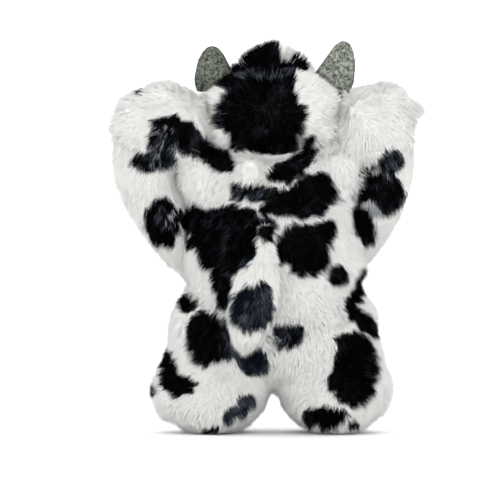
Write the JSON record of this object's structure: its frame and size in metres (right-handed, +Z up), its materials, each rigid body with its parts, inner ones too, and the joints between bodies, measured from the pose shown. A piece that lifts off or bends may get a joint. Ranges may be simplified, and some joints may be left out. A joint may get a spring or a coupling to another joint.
{
  "type": "plush cow",
  "caption": "Upright plush cow in white and black faux fur, with grey felt horns, a tufted forelock, bent arms whose paws meet in front, padded feet and a teardrop tail.",
  "frame": {"origin": "on the floor, under the middle of the toy's box", "axes": "+Z up; +Y the way the toy faces; +X the toy's right as seen from behind"},
  "size_m": [0.2776, 0.208, 0.3552],
  "materials": {
    "white_and_black_fur": "long faux fur with a cow print",
    "black_fur": "long faux fur",
    "muzzle_plush": "short plush",
    "grey_felt": "heather felt",
    "fibre_filling": "loose fibre",
    "pellet_bag_cloth": "plain cloth",
    "black_eye": "gloss",
    "washer_plastic": "matte",
    "dark_thread": "matte thread"
  },
  "bodies": {
    "torso": {"torso_skin": "white_and_black_fur", "torso_filling": "fibre_filling"},
    "head": {"head_skin": "white_and_black_fur", "head_filling": "fibre_filling", "muzzle_skin": "muzzle_plush", "muzzle_filling": "fibre_filling", "mouth_stitch": "dark_thread", "forelock": "black_fur", "nostril_left": "dark_thread", "eye_left": "black_eye", "eye_washer_left": "washer_plastic", "ear_left": "white_and_black_fur", "horn_left": "grey_felt", "horn_left_filling": "fibre_filling", "nostril_right": "dark_thread", "eye_right": "black_eye", "eye_washer_right": "washer_plastic", "ear_right": "white_and_black_fur", "horn_right": "grey_felt", "horn_right_filling": "fibre_filling"},
    "tail": {"tail_skin": "white_and_black_fur", "tail_filling": "fibre_filling"},
    "arm_left": {"upper_arm_left_skin": "white_and_black_fur", "upper_arm_left_filling": "fibre_filling"},
    "forearm_left": {"forearm_left_skin": "white_and_black_fur", "forearm_left_filling": "fibre_filling"},
    "leg_left": {"leg_left_skin": "white_and_black_fur", "leg_left_filling": "fibre_filling", "foot_pellet_bag_left": "pellet_bag_cloth"},
    "arm_right": {"upper_arm_right_skin": "white_and_black_fur", "upper_arm_right_filling": "fibre_filling"},
    "forearm_right": {"forearm_right_skin": "white_and_black_fur", "forearm_right_filling": "fibre_filling"},
    "leg_right": {"leg_right_skin": "white_and_black_fur", "leg_right_filling": "fibre_filling", "foot_pellet_bag_right": "pellet_bag_cloth"}
  },
  "joints": [
    {"name": "neck_turn", "type": "hinge", "parent": "torso", "child": "head", "pos_m": [0.00896, -0.00292, 0.252], "axis": [0, 0, 1], "range_deg": [-10, 10]},
    {"name": "shoulder_left", "type": "hinge", "parent": "torso", "child": "arm_left", "pos_m": [-0.05304, -0.01092, 0.236], "axis": [1, 0, 0], "range_deg": [0, 25]},
    {"name": "elbow_left", "type": "hinge", "parent": "arm_left", "child": "forearm_left", "pos_m": [-0.10804, -0.01092, 0.252], "axis": [1, 0, 0], "range_deg": [0, 30]},
    {"name": "shoulder_right", "type": "hinge", "parent": "torso", "child": "arm_right", "pos_m": [0.07096, -0.01092, 0.236], "axis": [1, 0, 0], "range_deg": [0, 25]},
    {"name": "elbow_right", "type": "hinge", "parent": "arm_right", "child": "forearm_right", "pos_m": [0.10796, -0.01092, 0.252], "axis": [1, 0, 0], "range_deg": [0, 30]},
    {"name": "hip_left", "type": "hinge", "parent": "torso", "child": "leg_left", "pos_m": [0.00896, -0.01092, 0.085], "axis": [1, 0, 0], "range_deg": [-12, 30]},
    {"name": "hip_right", "type": "hinge", "parent": "torso", "child": "leg_right", "pos_m": [0.00896, -0.01092, 0.085], "axis": [1, 0, 0], "range_deg": [-12, 30]},
    {"name": "tail_swing", "type": "hinge", "parent": "torso", "child": "tail", "pos_m": [0.00096, -0.07092, 0.182], "axis": [1, 0, 0], "range_deg": [-70, 0]}
  ]
}
